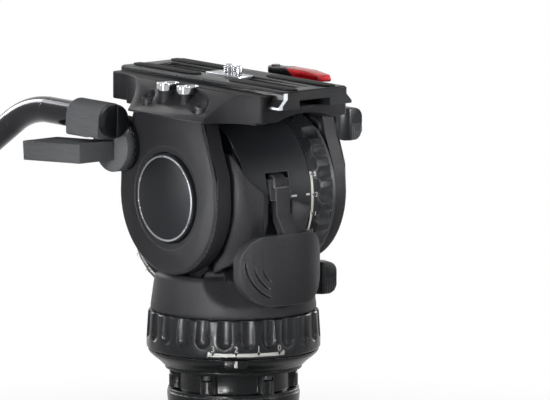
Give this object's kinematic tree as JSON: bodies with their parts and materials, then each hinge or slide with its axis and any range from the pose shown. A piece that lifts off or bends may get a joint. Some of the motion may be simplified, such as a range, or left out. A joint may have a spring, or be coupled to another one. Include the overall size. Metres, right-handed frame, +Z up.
{
  "type": "fluid video head",
  "caption": "Fluid pan and tilt head for a video tripod: half-ball base with a levelling lever, drag rings, counterbalance dial, sliding camera plate and a cranked pan bar",
  "frame": {"origin": "centre of the half ball, in the plane of the tripod bowl's rim, on the pan axis", "axes": "+Z up along the pan axis, the lens looks along -Y, -X is the side with the round disc and the pan bar; the tilt axis lies along X at z 0.114"},
  "size_m": [0.1517, 0.4558, 0.2397],
  "materials": {
    "black_satin": "satin",
    "charcoal": "fine texture",
    "ring_black": "satin",
    "white_print": "matt",
    "steel": "turned",
    "cartridge_grey": "turned",
    "bronze": "turned",
    "friction": "matt",
    "rubber": "matt",
    "red_lever": "gloss",
    "bar_grey": "satin anodised",
    "vial": "clear, tinted"
  },
  "bodies": {
    "base": {"bowl_base": "black_satin", "base_flange": "black_satin", "flange_screws": "steel", "pan_shaft": "steel", "pan_drag_cartridge": "cartridge_grey", "pan_thrust_washer": "steel", "pan_brake_drum": "steel", "rod_spring": "steel"},
    "pan_ring": {"pan_drag_ring": "ring_black", "pan_scale_band": "white_print"},
    "bowl_clamp": {"tie_rod": "steel", "bowl_claw": "black_satin", "claw_pads": "rubber", "claw_nut": "steel"},
    "turret": {"turret_body": "charcoal", "tilt_drum": "black_satin", "pan_bush": "bronze", "pan_drag_rotor": "steel", "tilt_bushes": "bronze", "tilt_drag_cartridge": "cartridge_grey", "brake_disc": "steel", "counterbalance_spring": "steel", "release_pins": "steel", "bubble_level": "vial", "bubble_bezel": "black_satin", "pan_brake_shoe": "friction"},
    "pan_brake": {"pan_brake_wing": "ring_black"},
    "tilt_ring": {"tilt_drag_ring": "ring_black", "tilt_scale_band": "white_print"},
    "balance_dial": {"counterbalance_dial": "ring_black", "counterbalance_scale": "white_print"},
    "lever": {"level_lever": "charcoal"},
    "rocker": {"release_rocker": "steel"},
    "platform": {"platform": "charcoal", "left_arm": "charcoal", "right_arm": "charcoal", "side_disc": "black_satin", "disc_ring": "steel", "right_cap": "black_satin", "arm_screws": "steel", "tilt_axle": "steel", "tilt_drag_rotor": "steel", "arm_rosettes": "black_satin", "spare_screws": "steel", "tilt_brake_shoe": "friction", "lock_pin": "steel"},
    "tilt_brake": {"tilt_brake_wing": "ring_black"},
    "lock_lever": {"plate_lock_lever": "red_lever"},
    "jaw": {"clamp_jaw": "black_satin"},
    "plate": {"camera_plate": "black_satin", "plate_pads": "rubber"},
    "carrier": {"screw_carrier": "steel", "video_pin": "steel"},
    "screw": {"camera_screw": "steel"},
    "pan_bar": {"bar_clamp": "bar_grey", "bar_end_cap": "black_satin", "pan_bar_tube": "bar_grey", "pan_bar_grip": "rubber"},
    "bar_clamp_lever": {"bar_lever": "bar_grey"}
  },
  "joints": [
    {"name": "pan", "type": "hinge", "parent": "base", "child": "turret", "pos_m": [0, 0, 0.047], "axis": [0, 0, 1], "continuous": true},
    {"name": "pan_drag", "type": "hinge", "parent": "base", "child": "pan_ring", "pos_m": [0, 0, 0.036], "axis": [0, 0, 1], "range_deg": [-30.4, 15.2]},
    {"name": "bowl_clamp", "type": "slide", "parent": "base", "child": "bowl_clamp", "axis": [0, 0, 1], "range_m": [-0.0015, 0]},
    {"name": "pan_brake", "type": "hinge", "parent": "turret", "child": "pan_brake", "pos_m": [0, 0, 0.061], "axis": [0.9703, -0.2419, 0], "range_deg": [0, 90]},
    {"name": "tilt_drag", "type": "hinge", "parent": "turret", "child": "tilt_ring", "pos_m": [0, 0, 0.114], "axis": [1, 0, 0], "range_deg": [-26.6, 13.3]},
    {"name": "counterbalance", "type": "hinge", "parent": "turret", "child": "balance_dial", "pos_m": [-0.0335, 0.0115, 0.0975], "axis": [1, 0, 0], "range_deg": [-120, 120]},
    {"name": "level_lever", "type": "hinge", "parent": "turret", "child": "lever", "pos_m": [-0.00425, -0.041, 0.1215], "axis": [1, 0, 0], "range_deg": [-75, 0]},
    {"name": "release_rocker", "type": "hinge", "parent": "turret", "child": "rocker", "pos_m": [-0.00425, -0.014, 0.092], "axis": [1, 0, 0], "range_deg": [-6.5, 0]},
    {"name": "tilt", "type": "hinge", "parent": "turret", "child": "platform", "pos_m": [0, 0, 0.114], "axis": [1, 0, 0], "range_deg": [-90, 70]},
    {"name": "tilt_brake", "type": "hinge", "parent": "platform", "child": "tilt_brake", "pos_m": [0.0484, -0.026, 0.1495], "axis": [1, 0, 0], "range_deg": [0, 90]},
    {"name": "plate_lock", "type": "hinge", "parent": "platform", "child": "lock_lever", "pos_m": [0.0356, 0.006, 0.177], "axis": [0, 0, 1], "range_deg": [0, 60]},
    {"name": "jaw_slide", "type": "slide", "parent": "platform", "child": "jaw", "axis": [1, 0, 0], "range_m": [0, 0.001]},
    {"name": "plate_slide", "type": "slide", "parent": "platform", "child": "plate", "axis": [0, 1, 0], "range_m": [-0.035, 0.035]},
    {"name": "carrier_slide", "type": "slide", "parent": "plate", "child": "carrier", "axis": [0, 1, 0], "range_m": [-0.04, 0.035]},
    {"name": "camera_screw", "type": "hinge", "parent": "carrier", "child": "screw", "pos_m": [0, 0.004, 0.18], "axis": [0, 0, 1], "continuous": true},
    {"name": "pan_bar", "type": "hinge", "parent": "platform", "child": "pan_bar", "pos_m": [-0.0524, 0.039, 0.1404], "axis": [1, 0, 0], "range_deg": [-60, 60]},
    {"name": "bar_clamp_lever", "type": "hinge", "parent": "pan_bar", "child": "bar_clamp_lever", "pos_m": [-0.0578, 0.039, 0.1404], "axis": [1, 0, 0], "range_deg": [-100, 0]}
  ],
  "couplings": [
    {"joint": "release_rocker", "follows": "level_lever", "ratio": 0.082},
    {"joint": "bowl_clamp", "follows": "level_lever", "m_per_rad": 0.0011459},
    {"joint": "jaw_slide", "follows": "plate_lock", "m_per_rad": 0.0009549}
  ]
}
